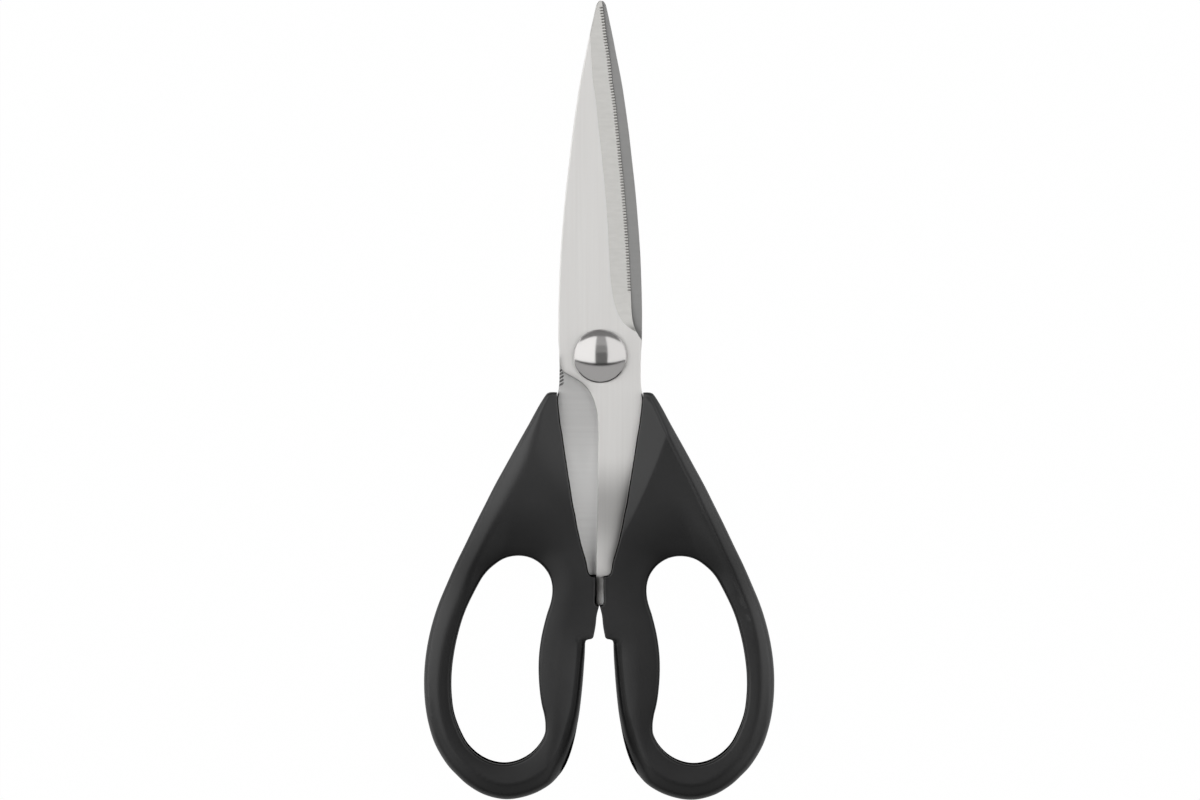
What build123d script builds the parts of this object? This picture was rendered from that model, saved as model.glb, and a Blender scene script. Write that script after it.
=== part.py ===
from build123d import *
import math
import os

# Kitchen shears, in millimetres. The shears lie flat and closed on the XY plane: X runs across the
# handles, Y along the blades towards the tip, Z up through the thickness. The origin is under the
# middle of the whole length, on the surface that the handles lie on.

# Overall sizes
blade_reach = 93.5
handle_reach = 116.5
handle_half_spread = 46.0
handle_thickness = 11.0
overrun = 2.0
straight_share = 0.000001

# Blades: one plate each, ground on its outer face down to the cutting edge
blade_half_width = 11.0
blade_thickness = 2.2
blade_gap = 0.05
bevel_width = 5.0
edge_thickness = 0.3

# Half widths of the spine as shares of the blade's half width, and their places as shares of the
# blade's reach from the pivot
spine_shares = [
    (0.197, 0.944),
    (0.442, 0.803),
    (0.666, 0.635),
    (0.830, 0.466),
    (0.947, 0.298),
    (0.999, 0.129),
    (0.976, 0.003),
]
tip_spine_shares = (0.107, 0.989)
tip_end_shares = (-0.018, 1.0)
tip_edge_shares = (0.030, 0.989)
edge_shares = [
    (0.082, 0.944),
    (0.214, 0.832),
    (0.336, 0.719),
    (0.480, 0.551),
    (0.611, 0.382),
    (0.706, 0.214),
    (0.730, 0.158),
]
choil_shares = [(0.780, 0.102), (0.845, 0.074), (1.000, 0.0455)]
bevel_line_shares = [
    (-0.420, 1.021),
    (-0.268, 0.888),
    (-0.205, 0.803),
    (-0.122, 0.719),
    (0.034, 0.551),
    (0.165, 0.382),
    (0.236, 0.214),
    (0.318, 0.158),
    (0.391, 0.129),
    (0.509, 0.102),
    (0.800, 0.076),
]

# Micro-serrations along the front blade's edge: short V-grooves square to it
serration_pitch = 0.77
serration_opening = 0.65
serration_reach = 1.0
serration_depth = 0.22
serration_start = 3.0
serration_run = 73.0

# Slanted notches in the rear blade's edge below the pivot
notch_count = 5
notch_pitch = 0.9
notch_radius = 0.3
notch_reach = 1.0
notch_drop = 6.0
notch_angle = 30.0

# Shank and tang: x as shares of the blade's half width, y as shares of the handle's reach below the
# pivot. The part under the handle is wider than what shows.
heel_shares = [
    (-0.973, 0.010),
    (-0.873, 0.0335),
    (-0.682, 0.042),
    (-0.445, 0.056),
    (-0.255, 0.0764),
    (-0.155, 0.0987),
    (-0.073, 0.1258),
    (-0.040, 0.153),
]
inner_edge_end_share = -0.082
heel_lean_share = 0.1
side_shares = [(0.973, 0.013), (0.977, 0.068)]
flare_shares = (1.045, 0.091)
tang_shares = [
    (1.190, 0.142),
    (1.090, 0.215),
    (0.900, 0.330),
    (0.700, 0.440),
    (0.560, 0.560),
]
tang_end_share = 0.6137
tang_step_share = 0.5597
tang_step_x = 2.6
tang_end_x = 6.0
anchor_hole_diameter = 2.4
anchor_places_shares = [(0.360, 0.525), (0.390, 0.590)]

# Pivot rivet, its washer and its rear head
pivot_bore_clearance = 0.05
rivet_shank_diameter = 6.0
rivet_tail_diameter = 4.0
rivet_tail_length = 2.0
rivet_head_diameter = 14.0
rivet_rim_height = 0.5
rivet_rim_round = 0.3
washer_diameter = 12.6
washer_thickness = 0.3
rear_flat_depth = 0.35

# Handles. Outline places: x as shares of the half spread, y as shares of the reach below the pivot.
nose_drop = 9.5
nose_wall = 1.9
outer_shares = [
    (0.355, 0.117),
    (0.440, 0.178),
    (0.597, 0.290),
    (0.767, 0.426),
    (0.919, 0.5605),
    (0.980, 0.6506),
    (1.000, 0.741),
    (0.972, 0.831),
    (0.866, 0.921),
    (0.753, 0.9665),
    (0.526, 1.000),
    (0.281, 0.9665),
    (0.189, 0.921),
    (0.124, 0.831),
    (0.0948, 0.741),
    (0.0826, 0.660),
    (0.0761, 0.560),
]
# The blank runs on past the nose and behind the mouth, where it is cut away
behind_mouth_shares = [(-0.060, 0.450), (-0.100, 0.250), (0.050, 0.060)]
hole_shares = [
    (0.465, 0.4502),
    (0.599, 0.4704),
    (0.723, 0.538),
    (0.809, 0.6283),
    (0.846, 0.741),
    (0.810, 0.831),
    (0.691, 0.8987),
    (0.543, 0.9189),
    (0.396, 0.8987),
    (0.3055, 0.831),
    (0.3355, 0.763),
    (0.3455, 0.705),
    (0.313, 0.606),
    (0.270, 0.528),
    (0.330, 0.4704),
]
outer_edge_round = 3.3
hole_edge_round = 2.9

# Mouth: the line where the plastic starts over the metal, as shares of the blade's half width and
# of the handle's reach
mouth_shares = [
    (1.035, 0.0815),
    (0.991, 0.132),
    (0.848, 0.222),
    (0.659, 0.336),
    (0.455, 0.426),
    (0.312, 0.4704),
]
mouth_foot_shares = (0.236, 0.497)
mouth_foot_round = 1.2

# Stop block between the mouth and the loop, and the toe where the two handles nearly meet
slot_half_width = 1.05
toe_share = 0.5631
toe_half_gap = 0.08
toe_shares = [(0.0146, 0.5828), (0.0276, 0.6283), (0.0326, 0.640)]
block_step_share = 0.6455
block_step_slope_share = 0.15
block_depth_share = 0.17
block_round = 0.5

# Flat ramps that lower the handle towards its nose, one on each face: a point on the crease and the
# crease's direction, as shares like the outline's
front_crease_shares = [(0.387, 0.193), (0.150, 0.4094)]
rear_crease_shares = [(0.445, 0.180), (0.200, 0.330)]
front_ramp_angle = 11.0
rear_ramp_angle = 7.0

# Worked-out heights and places
tip_y = (blade_reach + handle_reach) / 2
pivot_y = tip_y - blade_reach
mid_z = handle_thickness / 2
front_inner_z = mid_z + blade_gap / 2
front_outer_z = front_inner_z + blade_thickness
rear_outer_z = mid_z - blade_gap / 2 - blade_thickness
washer_z = front_outer_z + blade_gap
front_head_z = washer_z + washer_thickness
nose_y = pivot_y - nose_drop
bevel_slope = (blade_thickness - edge_thickness) / bevel_width
serration_side = serration_opening / math.sqrt(2)
serration_z = front_inner_z + edge_thickness + serration_opening / 2 - serration_depth
turn_over = Axis((0, 0, mid_z), (0, 1, 0))
pivot_axis = Axis((0, pivot_y, 0), (0, 0, 1))


def above_pivot(shares):
    """A place on the blade from its shares of the blade's half width and reach."""
    return (shares[0] * blade_half_width, pivot_y + shares[1] * blade_reach)


def below_pivot(shares):
    """A place on the shank from its shares of the blade's half width and the handle's reach."""
    return (shares[0] * blade_half_width, pivot_y - shares[1] * handle_reach)


def on_handle(shares):
    """A place on the handle from its shares of the half spread and the handle's reach."""
    return (shares[0] * handle_half_spread, pivot_y - shares[1] * handle_reach)


def smooth_arcs(points, start=None, end=None, closed=False):
    """Draws tangent arcs through points, two to a span, inside an open BuildLine. start and end are
    directions; where none is given, the direction at a point follows its neighbours."""
    places = [Vector(*point) for point in points]
    if closed:
        places = [places[-1]] + places + [places[0], places[1]]
    spans = [after - before for before, after in zip(places, places[1:])]
    headings = [
        (before.normalized() * after.length + after.normalized() * before.length).normalized()
        for before, after in zip(spans, spans[1:])
    ]
    if closed:
        places = places[1:-1]
    else:
        first = spans[0].normalized() * 2 - headings[0]
        last = spans[-1].normalized() * 2 - headings[-1]
        headings = [
            Vector(*start).normalized() if start else first.normalized(),
            *headings,
            Vector(*end).normalized() if end else last.normalized(),
        ]
    for here, there, leaving, arriving in zip(places, places[1:], headings, headings[1:]):
        span = there - here
        along = span.dot(leaving + arriving)
        bend = 2 * (1 - leaving.dot(arriving))
        arm = span.dot(span) / (along + math.sqrt(along**2 + bend * span.dot(span)))
        join = (here + leaving * arm + there - arriving * arm) / 2
        middle = (there - arriving * arm - here - leaving * arm).normalized()
        for begin, finish, heading in ((here, join, leaving), (join, there, middle)):
            chord = (finish - begin).normalized()
            if abs(chord.cross(heading).Z) < straight_share:
                Line(begin, finish)
            else:
                TangentArc(begin, finish, tangent=heading)


def corner_at(sketch, point):
    """The corner of a sketch that lies nearest a point."""
    return min(sketch.vertices(), key=lambda corner: (corner.center() - Vector(*point)).length)


# Front blade, seen from the front: the spine on the left, the cutting edge on the right, and the
# shank running down to the right-hand handle
spine_top = (-tip_spine_shares[0] * blade_half_width, pivot_y + tip_spine_shares[1] * blade_reach)
spine_points = [(-place[0], place[1]) for place in map(above_pivot, spine_shares)]
heel_points = [below_pivot(shares) for shares in heel_shares]
edge_points = [above_pivot(shares) for shares in (tip_edge_shares, *edge_shares)]
tang_step_y = pivot_y - tang_step_share * handle_reach
tang_end_y = pivot_y - tang_end_share * handle_reach

with BuildSketch(Plane.XY.offset(front_inner_z)) as plate:
    with BuildLine():
        smooth_arcs([spine_top, *spine_points, heel_points[0]])
        smooth_arcs(heel_points, start=(heel_lean_share, -1), end=(0, -1))
        Polyline(
            heel_points[-1],
            (inner_edge_end_share * blade_half_width, tang_step_y),
            (tang_step_x, tang_step_y),
            (tang_step_x, tang_end_y),
            (tang_end_x, tang_end_y),
        )
        smooth_arcs(
            [
                below_pivot(flare_shares),
                *[below_pivot(shares) for shares in tang_shares],
                (tang_end_x, tang_end_y),
            ],
            start=(1, -1),
            end=(0, -1),
        )
        smooth_arcs(
            [
                above_pivot(choil_shares[-1]),
                *[below_pivot(shares) for shares in side_shares],
                below_pivot(flare_shares),
            ]
        )
        smooth_arcs([above_pivot(edge_shares[-1]), *[above_pivot(shares) for shares in choil_shares]])
        smooth_arcs(edge_points)
        ThreePointArc(spine_top, above_pivot(tip_end_shares), edge_points[0])
    make_face()

with BuildPart() as ground_blade:
    add(plate.sketch)
    extrude(amount=blade_thickness)

    # The bevel is one ground surface whose upper line runs out at the choil
    for shares in bevel_line_shares:
        line_x, line_y = above_pivot(shares)
        reach = bevel_width + overrun
        with BuildSketch(Plane(origin=(line_x, line_y, front_outer_z), z_dir=(0, 1, 0), x_dir=(1, 0, 0))):
            with BuildLine():
                Polyline(
                    (-overrun, -overrun * bevel_slope),
                    (reach, reach * bevel_slope),
                    (reach, -overrun * bevel_slope),
                    close=True,
                )
            make_face()
    loft(ruled=True, mode=Mode.SUBTRACT)

    with Locations(*[below_pivot(shares) + (front_outer_z,) for shares in anchor_places_shares]):
        Hole(anchor_hole_diameter / 2)

# The front blade turns on the rivet and is serrated
with BuildLine() as cutting_edge:
    smooth_arcs(edge_points)
edge_wire = cutting_edge.wires()[0]

with BuildPart() as front_blade:
    add(ground_blade.part)
    with Locations((0, pivot_y, front_outer_z)):
        Hole(rivet_shank_diameter / 2 + pivot_bore_clearance)
    grooves = []
    for count in range(int(serration_run / serration_pitch)):
        along = serration_start + count * serration_pitch
        place = edge_wire.position_at(along, PositionMode.LENGTH)
        heading = edge_wire.tangent_at(along, PositionMode.LENGTH)
        turn = math.degrees(math.atan2(-heading.X, heading.Y))
        grooves.append(Location((place.X, place.Y, serration_z), (0, 0, turn)))
    with Locations(*grooves):
        Box(
            2 * serration_reach,
            serration_side,
            serration_side,
            rotation=(45, 0, 0),
            mode=Mode.SUBTRACT,
        )

# The rear blade is the same plate turned over about the long axis, tight on the rivet, with a few
# slanted notches in its edge below the pivot
with BuildPart() as rear_blade:
    add(ground_blade.part.rotate(turn_over, 180))
    with Locations((0, pivot_y, mid_z)):
        Hole(rivet_shank_diameter / 2)
    notches = []
    for count in range(notch_count):
        notch_y = pivot_y - notch_drop + count * notch_pitch
        notches.append(Location((-blade_half_width, notch_y, front_inner_z), (0, 0, notch_angle)))
    with Locations(*notches):
        Cylinder(notch_radius, 2 * notch_reach, rotation=(0, 90, 0), mode=Mode.SUBTRACT)

# Right-hand handle: a blank with rounded edges, trimmed to the mouth and the nose
outer_start = (mouth_shares[0][0] * blade_half_width + nose_wall, nose_y)
outer_points = [on_handle(shares) for shares in outer_shares]
behind_points = [on_handle(shares) for shares in behind_mouth_shares]
above_nose = tuple(2 * near - far for near, far in zip(outer_start, outer_points[0]))
mouth_foot_x, mouth_foot_y = below_pivot(mouth_foot_shares)
mouth_points = [below_pivot(shares) for shares in mouth_shares]

with BuildPart() as right_handle:
    with BuildSketch():
        with BuildLine():
            smooth_arcs([above_nose, outer_start, *outer_points, *behind_points], closed=True)
        make_face()
    extrude(amount=handle_thickness)
    blank_edges = right_handle.edges().filter_by(GeomType.CIRCLE)
    fillet(blank_edges.group_by(Axis.Z)[0] + blank_edges.group_by(Axis.Z)[-1], outer_edge_round)

    with BuildSketch():
        with BuildLine():
            smooth_arcs([on_handle(shares) for shares in hole_shares], closed=True)
        make_face()
    extrude(amount=handle_thickness, mode=Mode.SUBTRACT)
    rims = right_handle.edges(Select.LAST).filter_by(GeomType.CIRCLE)
    fillet(rims.group_by(Axis.Z)[0] + rims.group_by(Axis.Z)[-1], hole_edge_round)

    # Mouth that the shank comes out of, and the cut-off nose
    with BuildSketch() as mouth:
        with BuildLine():
            smooth_arcs(mouth_points)
            Polyline(
                mouth_points[-1],
                (mouth_foot_x, mouth_foot_y),
                (slot_half_width, mouth_foot_y),
                (slot_half_width, outer_points[-1][1]),
                (-handle_half_spread, outer_points[-1][1]),
                (-handle_half_spread, nose_y + handle_half_spread),
                (mouth_points[0][0], nose_y + handle_half_spread),
                mouth_points[0],
            )
        make_face()
        fillet(corner_at(mouth, (mouth_foot_x, mouth_foot_y)), mouth_foot_round)
    extrude(amount=handle_thickness, mode=Mode.SUBTRACT)
    with BuildSketch():
        with Locations((handle_half_spread / 2, nose_y + handle_half_spread / 2)):
            Rectangle(2 * handle_half_spread, handle_half_spread)
    extrude(amount=handle_thickness, mode=Mode.SUBTRACT)

    # Stop block beside the slot, down to the step above the finger loop's leg
    toe_y = pivot_y - toe_share * handle_reach
    toe_points = [on_handle(shares) for shares in toe_shares]
    block_x = block_depth_share * handle_half_spread
    block_fall = block_step_slope_share * (block_x - toe_points[-1][0])
    block_step_y = pivot_y - block_step_share * handle_reach - block_fall
    with BuildSketch() as block:
        with BuildLine():
            Polyline(
                (block_x, mouth_foot_y),
                (slot_half_width, mouth_foot_y),
                (slot_half_width, toe_y + slot_half_width / 2),
                (toe_half_gap, toe_y),
                *toe_points,
                (block_x, block_step_y),
                close=True,
            )
        make_face()
        fillet(corner_at(block, toe_points[-1]), block_round)
    extrude(amount=handle_thickness)

    # Ramps towards the nose
    for crease_shares, face_z, angle in (
        (front_crease_shares, handle_thickness, front_ramp_angle),
        (rear_crease_shares, 0, rear_ramp_angle),
    ):
        crease_top = Vector(*on_handle(crease_shares[0]), face_z)
        crease_foot = Vector(*on_handle(crease_shares[1]), face_z)
        along = (crease_top - crease_foot).normalized()
        towards_nose = Vector(-along.Y, along.X, 0)
        ramp_plane = Plane(origin=crease_top, x_dir=towards_nose, z_dir=along)
        ramp_length = handle_half_spread
        drop = ramp_length * math.tan(math.radians(angle))
        with BuildSketch(ramp_plane):
            with BuildLine():
                Polyline(
                    (0, 0),
                    (ramp_length, drop),
                    (ramp_length, -overrun),
                    (0, -overrun),
                    close=True,
                )
            make_face()
        extrude(amount=handle_reach, both=True, mode=Mode.SUBTRACT)

    # The metal passes into the plastic, which also fills its anchor holes
    add(ground_blade.part, mode=Mode.SUBTRACT)

# The left-hand handle is the same moulding turned over with its blade
with BuildPart() as left_handle:
    add(right_handle.part.rotate(turn_over, 180))

# Pivot rivet: a polished dome, the shank that both blades are threaded on, and a thinner tail
head_radius = rivet_head_diameter / 2
head_rise = handle_thickness - front_head_z - rivet_rim_height
shank_length = front_head_z - rear_outer_z
with BuildPart() as pivot_rivet:
    with BuildSketch(Plane(origin=(0, pivot_y, front_head_z), x_dir=(1, 0, 0), z_dir=(0, -1, 0))):
        with BuildLine():
            flank = Polyline(
                (0, -shank_length - rivet_tail_length),
                (rivet_tail_diameter / 2, -shank_length - rivet_tail_length),
                (rivet_tail_diameter / 2, -shank_length),
                (rivet_shank_diameter / 2, -shank_length),
                (rivet_shank_diameter / 2, 0),
                (head_radius, 0),
                (head_radius, rivet_rim_height),
                (head_radius - rivet_rim_round, rivet_rim_height + rivet_rim_round),
            )
            dome = TangentArc((0, rivet_rim_height + head_rise), flank @ 1, tangent=(1, 0))
            Line(dome @ 0, flank @ 0)
        make_face()
    revolve(axis=pivot_axis)

# Washer that keeps the dome off the turning blade
with BuildPart() as pivot_washer:
    with BuildSketch(Plane.XY.offset(washer_z)):
        with Locations((0, pivot_y)):
            Circle(washer_diameter / 2)
            Circle(rivet_shank_diameter / 2, mode=Mode.SUBTRACT)
    extrude(amount=washer_thickness)

# Rear head, pressed on the rivet's tail, with a small flat that the shears rest on
with BuildPart() as rear_head:
    with BuildSketch(Plane(origin=(0, pivot_y, rear_outer_z), x_dir=(1, 0, 0), z_dir=(0, -1, 0))):
        with BuildLine():
            rear_rim = Line((head_radius, 0), (head_radius, -rivet_rim_height))
            rear_dome = TangentArc((0, -rear_outer_z - rear_flat_depth), rear_rim @ 1, tangent=(1, 0))
            Polyline(rear_dome @ 0, (0, 0), rear_rim @ 0)
        make_face()
    revolve(axis=pivot_axis)
    with BuildSketch(Plane.XY):
        with Locations((0, pivot_y)):
            Circle(head_radius)
    extrude(amount=-rear_flat_depth - overrun, mode=Mode.SUBTRACT)
    with BuildSketch(Plane.XY.offset(rear_outer_z)):
        with Locations((0, pivot_y)):
            Circle(rivet_tail_diameter / 2)
    extrude(amount=-rivet_tail_length, mode=Mode.SUBTRACT)

# Every piece by its name
pieces = {
    "front_blade": front_blade,
    "rear_blade": rear_blade,
    "right_handle": right_handle,
    "left_handle": left_handle,
    "pivot_rivet": pivot_rivet,
    "pivot_washer": pivot_washer,
    "rear_head": rear_head,
}
os.makedirs("parts", exist_ok=True)
for name, piece in pieces.items():
    piece.part.label = name
    export_step(piece.part, f"parts/{name}.step")
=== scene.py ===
import math

import bpy
import numpy as np
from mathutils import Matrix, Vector
from mathutils.geometry import delaunay_2d_cdt

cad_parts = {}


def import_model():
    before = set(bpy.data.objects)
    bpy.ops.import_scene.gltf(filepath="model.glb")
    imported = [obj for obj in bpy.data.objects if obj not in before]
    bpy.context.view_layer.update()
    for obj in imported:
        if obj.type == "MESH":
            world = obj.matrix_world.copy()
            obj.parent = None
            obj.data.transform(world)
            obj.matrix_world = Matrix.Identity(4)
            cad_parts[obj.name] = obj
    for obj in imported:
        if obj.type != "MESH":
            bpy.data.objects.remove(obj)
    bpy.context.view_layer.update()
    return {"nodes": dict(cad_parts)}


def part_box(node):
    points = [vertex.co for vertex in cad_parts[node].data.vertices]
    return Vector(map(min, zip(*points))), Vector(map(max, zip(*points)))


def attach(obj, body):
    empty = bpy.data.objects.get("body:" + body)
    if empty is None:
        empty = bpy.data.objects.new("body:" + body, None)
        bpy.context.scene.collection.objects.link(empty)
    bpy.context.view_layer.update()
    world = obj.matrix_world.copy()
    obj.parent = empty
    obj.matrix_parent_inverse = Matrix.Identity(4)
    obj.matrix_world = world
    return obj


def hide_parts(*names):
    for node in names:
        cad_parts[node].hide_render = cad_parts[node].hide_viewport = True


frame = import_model()
scene = bpy.context.scene
MM = 0.001

# The photograph's frame: millimetres per pixel of its 1200 by 800, and the shears' slight lean in it
MM_PER_PIXEL = 0.2625
FRAME_WIDTH_PIXELS = 1200
LEAN_DEGREES = 0.17

# A material's grain along the blade, across it, and in no direction
ALONG, ACROSS, EVEN = (1, 0.02, 1), (0.03, 1, 1), (1, 1, 1)


def material(name, colour, roughness, metallic=0.0):
    """A node material with its shader's plain values set, and its shader and tree."""
    made = bpy.data.materials.new(name)
    made.use_nodes = True
    shader = made.node_tree.nodes["Principled BSDF"]
    shader.inputs["Base Color"].default_value = (*colour, 1)
    shader.inputs["Roughness"].default_value = roughness
    shader.inputs["Metallic"].default_value = metallic
    return made, shader, made.node_tree


def node(tree, kind, **values):
    """A shader node with some of its inputs or settings given by name."""
    made = tree.nodes.new(kind)
    for key, value in values.items():
        if key in made.inputs:
            made.inputs[key].default_value = value
        else:
            setattr(made, key, value)
    return made


def stretched_noise(tree, stretch, scale, detail=3.0):
    """Noise on the object's own coordinates, stretched along an axis by small factors."""
    place = node(tree, "ShaderNodeTexCoord")
    mapping = node(tree, "ShaderNodeMapping", Scale=stretch)
    noise = node(tree, "ShaderNodeTexNoise", Scale=scale, Detail=detail)
    tree.links.new(place.outputs["Object"], mapping.inputs["Vector"])
    tree.links.new(mapping.outputs["Vector"], noise.inputs["Vector"])
    return noise


def tint(tree, factor, dark, light, low=0.3, high=0.7):
    """A colour ramp from dark to light over a factor's range."""
    ramp = node(tree, "ShaderNodeValToRGB")
    ramp.color_ramp.elements[0].position = low
    ramp.color_ramp.elements[0].color = (*dark, 1)
    ramp.color_ramp.elements[1].position = high
    ramp.color_ramp.elements[1].color = (*light, 1)
    tree.links.new(factor, ramp.inputs["Fac"])
    return ramp.outputs["Color"]


def bump(tree, shader, height, strength, distance):
    """A bump of a height on a shader."""
    made = node(tree, "ShaderNodeBump", Strength=strength, Distance=distance)
    tree.links.new(height, made.inputs["Height"])
    tree.links.new(made.outputs["Normal"], shader.inputs["Normal"])


def vary_roughness(tree, shader, factor, low, high):
    """Roughness that follows a factor between two values."""
    spread = node(tree, "ShaderNodeMapRange")
    spread.inputs["To Min"].default_value = low
    spread.inputs["To Max"].default_value = high
    tree.links.new(factor, spread.inputs["Value"])
    tree.links.new(spread.outputs["Result"], shader.inputs["Roughness"])


def brushed_steel(name, dark, light, low, high, stretch, anisotropy):
    """Steel with fine grain lines along one direction."""
    made, shader, tree = material(name, light, high, metallic=1.0)
    grain = stretched_noise(tree, stretch, scale=900.0, detail=4.0)
    tree.links.new(tint(tree, grain.outputs["Fac"], dark, light), shader.inputs["Base Color"])
    vary_roughness(tree, shader, grain.outputs["Fac"], low, high)
    bump(tree, shader, grain.outputs["Fac"], strength=0.05, distance=0.00002)
    shader.inputs["Anisotropic"].default_value = anisotropy
    across = node(tree, "ShaderNodeVectorTransform", vector_type="VECTOR")
    across.convert_from, across.convert_to = "OBJECT", "WORLD"
    across.inputs["Vector"].default_value = (1, 0, 0)
    tree.links.new(across.outputs["Vector"], shader.inputs["Tangent"])
    return made


def black_plastic():
    """Satin black moulded plastic with a fine spark-eroded texture, its gloss scaled by the painted shade
    its mesh carries.
    """
    made, shader, tree = material("handle_plastic", (0.024, 0.024, 0.0245), roughness=0.32)
    # The mesh's painted shade darkens the plastic's gloss as well as its colour
    shade = node(tree, "ShaderNodeAttribute", attribute_name="shade")
    painted_shade_gloss = node(tree, "ShaderNodeMath", operation="MULTIPLY")
    painted_shade_gloss.inputs[1].default_value = 0.7
    tree.links.new(shade.outputs["Fac"], painted_shade_gloss.inputs[0])
    tree.links.new(painted_shade_gloss.outputs[0], shader.inputs["Specular IOR Level"])
    blotch = stretched_noise(tree, EVEN, scale=60.0, detail=3.0)
    texture = stretched_noise(tree, EVEN, scale=5200.0, detail=2.0)
    colour = tint(tree, blotch.outputs["Fac"], (0.022, 0.022, 0.0225), (0.026, 0.026, 0.0265))
    tree.links.new(colour, shader.inputs["Base Color"])
    vary_roughness(tree, shader, blotch.outputs["Fac"], low=0.29, high=0.35)
    bump(tree, shader, texture.outputs["Fac"], strength=0.25, distance=0.00003)
    return made


def polished_steel():
    """Mirror-polished rivet steel with faint wear."""
    made, shader, tree = material("rivet_steel", (0.70, 0.685, 0.675), roughness=0.09, metallic=1.0)
    wear = stretched_noise(tree, EVEN, scale=700.0, detail=4.0)
    vary_roughness(tree, shader, wear.outputs["Fac"], low=0.11, high=0.16)
    return made


def paint(name, *materials):
    """Gives a CAD node its materials."""
    target = frame["nodes"][name]
    target.data.materials.clear()
    for made in materials:
        target.data.materials.append(made)


def shaded(made):
    """Multiplies a material's colour by the painted shade and light its mesh carries."""
    tree = made.node_tree
    colour = tree.nodes["Principled BSDF"].inputs["Base Color"]
    shade = node(tree, "ShaderNodeAttribute", attribute_name="shade")
    mix = node(tree, "ShaderNodeMix", data_type="RGBA", blend_type="MULTIPLY")
    mix.inputs["Factor"].default_value = 1.0
    tree.links.new(colour.links[0].from_socket, mix.inputs["A"])
    tree.links.new(shade.outputs["Fac"], mix.inputs["B"])
    tree.links.new(mix.outputs["Result"], colour)
    return made


# The blade's steel, darkened and lightened by its mesh's painted shade and light
steel = shaded(brushed_steel(
    "blade_steel", dark=(0.93, 0.916, 0.896), light=(0.985, 0.973, 0.953), low=0.42, high=0.50,
    stretch=ALONG, anisotropy=0.85,
))
bevel_steel = brushed_steel(
    "bevel_steel", dark=(0.66, 0.652, 0.628), light=(0.72, 0.711, 0.688), low=0.38, high=0.46,
    stretch=ACROSS, anisotropy=0.6,
)
# Darker steel for the teeth's grooves: painted shade in the grooves
groove_shade_steel = brushed_steel(
    "groove_shade_steel", dark=(0.4, 0.392, 0.379), light=(0.46, 0.451, 0.436), low=0.34, high=0.42,
    stretch=EVEN, anisotropy=0.0,
)
# The inner face's steel, darkened and lightened by its mesh's painted shade and light
inner_steel = shaded(brushed_steel(
    "inner_steel", dark=(0.93, 0.925, 0.912), light=(0.985, 0.98, 0.967), low=0.42, high=0.50,
    stretch=ACROSS, anisotropy=0.85,
))
# The plastic, darkened by its mesh's painted shade in colour and gloss
plastic = shaded(black_plastic())
rivet = polished_steel()
washer = brushed_steel(
    "washer_steel", dark=(0.45, 0.44, 0.43), light=(0.6, 0.59, 0.58), low=0.3, high=0.4,
    stretch=EVEN, anisotropy=0.0,
)
for name in ("pivot_rivet", "rear_head"):
    paint(name, rivet)
paint("pivot_washer", washer)


# Handles

# The right handle's outline in millimetres, going round from the nose
OUTER = [
    (13.15, 2.0), (13.85, 1.72), (14.4, 1.05), (15.16, -0.1), (16.34, -2.1), (18.77, -6.6),
    (21.7, -11.8), (24.62, -17.1), (27.47, -22.3), (30.14, -27.6), (32.75, -32.8),
    (35.29, -38.1), (37.83, -43.3), (40.16, -48.6), (42.3, -53.8), (43.96, -59.1),
    (45.11, -64.3), (45.8, -69.6), (45.98, -74.8), (45.65, -80.1), (44.72, -85.3),
    (42.98, -90.6), (39.85, -95.8), (37.47, -98.4), (34.5, -101.1), (30.0, -103.7),
    (24.2, -104.9), (17.9, -103.7), (13.0, -101.1), (10.3, -98.4), (8.7, -95.8),
    (7.63, -93.2), (6.83, -90.6), (6.18, -87.9), (5.7, -85.3), (5.24, -82.7), (4.9, -80.1),
    (4.36, -74.8), (3.97, -69.6), (3.8, -66.9), (3.7, -63.85),
]
STEP = [(3.7, -63.85), (3.5, -63.1), (2.9, -62.8), (2.0, -62.6), (1.6, -62.25), (1.43, -61.65)]
TOE = [(1.43, -61.65), (1.3, -61.0), (0.97, -59.1), (0.67, -56.4), (0.1, -54.1)]
SLOT = [(0.1, -54.1), (1.03, -53.5), (1.05, -50.0), (1.05, -46.4)]
MOUTH = [
    (1.05, -46.4), (2.2, -46.3), (3.0, -45.6), (3.4, -44.2), (3.7, -42.6), (4.23, -40.7),
    (5.0, -38.1), (5.64, -35.4), (6.2, -32.8), (6.65, -30.2), (7.25, -27.6), (7.65, -24.9),
    (8.05, -22.3), (8.5, -19.7), (8.9, -17.1), (9.32, -14.4), (9.7, -11.8), (10.1, -9.2),
    (10.55, -6.6), (10.9, -3.9), (11.2, -1.05), (11.35, 2.0),
]
NOSE = [(11.35, 2.0), (12.2, 2.05), (13.15, 2.0)]
HOLE = [
    (21.4, -40.95), (24.8, -41.6), (27.56, -43.3), (30.2, -45.9), (33.25, -51.2), (35.6, -56.4),
    (37.2, -61.7), (38.27, -66.9), (38.86, -72.2), (38.84, -77.4), (38.1, -82.7), (36.1, -87.9),
    (34.5, -90.6), (31.8, -93.2), (28.6, -94.9), (25.0, -95.55), (21.5, -94.95), (18.2, -93.2),
    (15.67, -90.6), (14.28, -87.9), (14.06, -85.3), (14.37, -82.7), (15.0, -80.1),
    (15.45, -77.4), (15.88, -72.2), (15.8, -66.9), (15.1, -61.7), (13.8, -56.4), (12.95, -53.8),
    (12.42, -51.2), (12.43, -48.6), (13.23, -45.9), (15.2, -43.3), (18.1, -41.5),
]
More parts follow.
